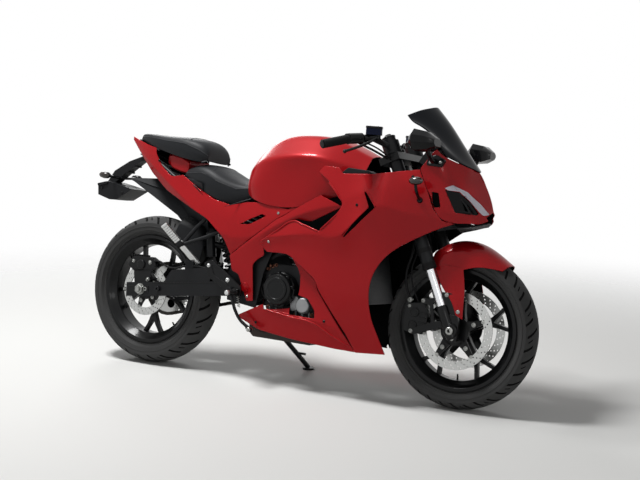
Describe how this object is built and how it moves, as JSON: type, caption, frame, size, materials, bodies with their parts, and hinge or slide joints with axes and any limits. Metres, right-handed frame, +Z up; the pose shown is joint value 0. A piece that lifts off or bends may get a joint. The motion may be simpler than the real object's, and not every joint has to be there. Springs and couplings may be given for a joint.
{
  "type": "sport motorcycle",
  "caption": "Fully faired sport motorcycle leaning on its side stand, with turning wheels, steering and a folding stand.",
  "frame": {"origin": "on the ground, at the middle of the whole machine seen from above", "axes": "+X forward, +Y to its left, towards the side it leans to, +Z up"},
  "size_m": [2.0044, 0.6966, 1.1044],
  "materials": {
    "bare_alloy": "bare alloy",
    "black_alloy": "satin black coated alloy",
    "black_paint": "satin black paint",
    "black_plastic": "grained black plastic",
    "candy_red": "metallic candy red over moulded plastic and steel",
    "chain_steel": "oiled steel",
    "chrome_tube": "hard chrome",
    "dark_screen": "dark tinted screen",
    "disc_steel": "ground steel",
    "engine_alloy": "cast alloy",
    "exhaust_steel": "dark heat-stained steel",
    "grip_rubber": "matt rubber",
    "lamp_lens": "smoked lens",
    "seat_cover": "black synthetic leather",
    "tail_lens": "red lens",
    "tyre": "matt black tyre"
  },
  "bodies": {
    "chassis": {"drive_chain": "chain_steel", "swingarm": "black_paint", "stand_bobbins": "black_plastic", "main_frame": "black_paint", "subframe": "black_paint", "engine": "engine_alloy", "engine_covers": "black_alloy", "exhaust": "exhaust_steel", "radiator": "engine_alloy", "rear_shock": "black_paint", "rear_hugger": "black_plastic", "rear_caliper": "black_alloy", "fuel_tank": "candy_red", "rider_seat": "seat_cover", "pillion_seat": "seat_cover", "undertray": "black_plastic", "nose_fairing": "candy_red", "windscreen": "dark_screen", "front_stay": "black_plastic", "headlights": "lamp_lens", "instrument": "black_plastic", "mirrors": "black_plastic", "turn_signals": "black_plastic", "tail_light": "tail_lens", "plate_holder": "black_plastic", "chin_panel": "black_plastic", "footrests": "black_plastic", "foot_levers": "black_paint", "passenger_pegs": "bare_alloy", "stand_bracket": "black_paint", "fairing_right": "candy_red", "fairing_left": "candy_red", "frame_cover_right": "candy_red", "frame_cover_left": "candy_red", "tail_right": "candy_red", "tail_left": "candy_red", "belly_right": "candy_red", "belly_left": "candy_red"},
    "steering": {"fork_tubes": "black_paint", "fork_sliders": "chrome_tube", "front_axle": "disc_steel", "triple_clamps": "black_alloy", "front_calipers": "black_alloy", "front_mudguard": "candy_red", "handlebars": "black_alloy", "grips": "grip_rubber", "hand_controls": "black_plastic"},
    "front_wheel": {"front_rim": "black_alloy", "front_tyre": "tyre", "front_discs": "disc_steel"},
    "rear_wheel": {"rear_rim": "black_alloy", "rear_tyre": "tyre", "rear_disc": "disc_steel", "rear_sprocket": "disc_steel"},
    "side_stand": {"side_stand": "black_paint"}
  },
  "joints": [
    {"name": "steering", "type": "hinge", "parent": "chassis", "child": "steering", "pos_m": [0.45098, -0.01787, 0.78543], "axis": [-0.4066, 0.1113, 0.9068], "range_deg": [-30, 30]},
    {"name": "front_wheel_spin", "type": "hinge", "parent": "steering", "child": "front_wheel", "pos_m": [0.70975, -0.07854, 0.29135], "axis": [0, 0.9925, -0.1219], "continuous": true},
    {"name": "rear_wheel_spin", "type": "hinge", "parent": "chassis", "child": "rear_wheel", "pos_m": [-0.68924, -0.07647, 0.30838], "axis": [0, 0.9925, -0.1219], "continuous": true},
    {"name": "side_stand_fold", "type": "hinge", "parent": "chassis", "child": "side_stand", "pos_m": [-0.15426, 0.00999, 0.19191], "axis": [0.0579, 0.8301, 0.5546], "range_deg": [0, 102.6]}
  ]
}
